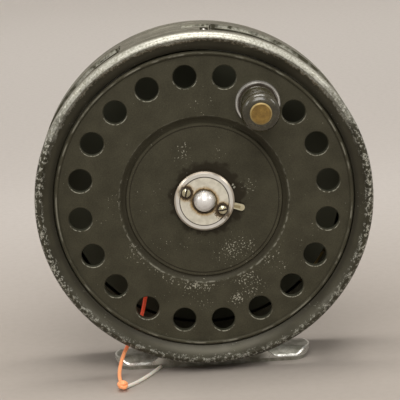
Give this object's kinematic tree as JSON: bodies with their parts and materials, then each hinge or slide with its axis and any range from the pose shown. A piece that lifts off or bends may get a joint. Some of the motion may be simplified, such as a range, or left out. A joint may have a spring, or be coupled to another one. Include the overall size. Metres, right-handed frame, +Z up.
{
  "type": "fly reel",
  "caption": "Centre-pin fly reel: caged alloy frame on an arched foot, ventilated drum with one turned handle, spring latch and a ratchet check behind the drum.",
  "frame": {"origin": "middle of the foot's seat, at the level of its two edge lands, straight below the spindle", "axes": "+X along the foot to the right as seen from the handle side, +Y along the spindle from the drum to the back plate, +Z up through the spindle"},
  "size_m": [0.0984, 0.048, 0.1012],
  "materials": {
    "enamel": "worn satin lead-grey enamel over alloy",
    "drum_enamel": "satin olive-grey enamel with fine chips",
    "foot_alloy": "tarnished bare alloy, bright on its edges",
    "nickel": "polished nickel silver, lightly scratched",
    "steel": "turned steel with a film of oil",
    "spring_steel": "blued spring steel",
    "brass": "aged brass",
    "bronze": "oiled bronze",
    "ebonite": "turned ebonite, dark olive-brown and glossy on its shoulder",
    "orange_line": "coated fly line, smooth",
    "white_leader": "braided leader butt, off-white"
  },
  "bodies": {
    "frame_body": {"frame": "enamel", "slot_rivet": "nickel", "guard_ring": "enamel", "reel_foot": "foot_alloy", "foot_rivets": "foot_alloy", "spindle": "steel", "spindle_screws": "steel", "pawl_posts": "steel", "pawl_screws": "steel", "calliper_spring": "spring_steel", "calliper_anchor": "brass", "regulator_bracket": "brass", "bracket_screws": "steel", "line_end": "orange_line", "line_knot": "orange_line", "leader_stub": "white_leader"},
    "drum_body": {"drum": "drum_enamel", "spindle_bush": "bronze", "ratchet_wheel": "brass", "ratchet_rivets": "steel", "latch_cover": "nickel", "latch_screws": "brass", "latch_spring": "spring_steel", "handle_plate": "nickel", "handle_pin": "brass"},
    "grip_body": {"handle_grip": "ebonite"},
    "lever_body": {"latch_lever": "brass"},
    "left_pawl_body": {"check_pawl_left": "steel"},
    "right_pawl_body": {"check_pawl_right": "steel"},
    "regulator_body": {"regulator_screw": "brass"},
    "slide_body": {"regulator_slide": "brass"}
  },
  "joints": [
    {"name": "drum_spin", "type": "hinge", "parent": "frame_body", "child": "drum_body", "pos_m": [0, 0, 0.052], "axis": [0, -1, 0], "continuous": true},
    {"name": "grip_spin", "type": "hinge", "parent": "drum_body", "child": "grip_body", "pos_m": [0.0169, -0.0232, 0.07958], "axis": [0, -1, 0], "continuous": true},
    {"name": "latch_lever_swing", "type": "hinge", "parent": "drum_body", "child": "lever_body", "pos_m": [-0.00514, -0.0133, 0.05479], "axis": [0, -1, 0], "range_deg": [0, 7], "stiffness_Nm_per_rad": 0.02},
    {"name": "left_pawl_rock", "type": "hinge", "parent": "frame_body", "child": "left_pawl_body", "pos_m": [0.00353, 0.0086, 0.06472], "axis": [0, -1, 0], "range_deg": [-4, 4], "stiffness_Nm_per_rad": 0.01},
    {"name": "right_pawl_rock", "type": "hinge", "parent": "frame_body", "child": "right_pawl_body", "pos_m": [-0.01149, 0.0086, 0.0455], "axis": [0, -1, 0], "range_deg": [-4, 4], "stiffness_Nm_per_rad": 0.01},
    {"name": "regulator_turn", "type": "hinge", "parent": "frame_body", "child": "regulator_body", "pos_m": [0.03152, 0.009, 0.02737], "axis": [0.788, 0, -0.6157], "range_deg": [-566, 566]},
    {"name": "regulator_slide_travel", "type": "slide", "parent": "frame_body", "child": "slide_body", "axis": [0.788, 0, -0.6157], "range_m": [-0.0011, 0.0011]}
  ],
  "couplings": [
    {"joint": "regulator_turn", "follows": "regulator_slide_travel", "rad_per_m": -8976}
  ]
}
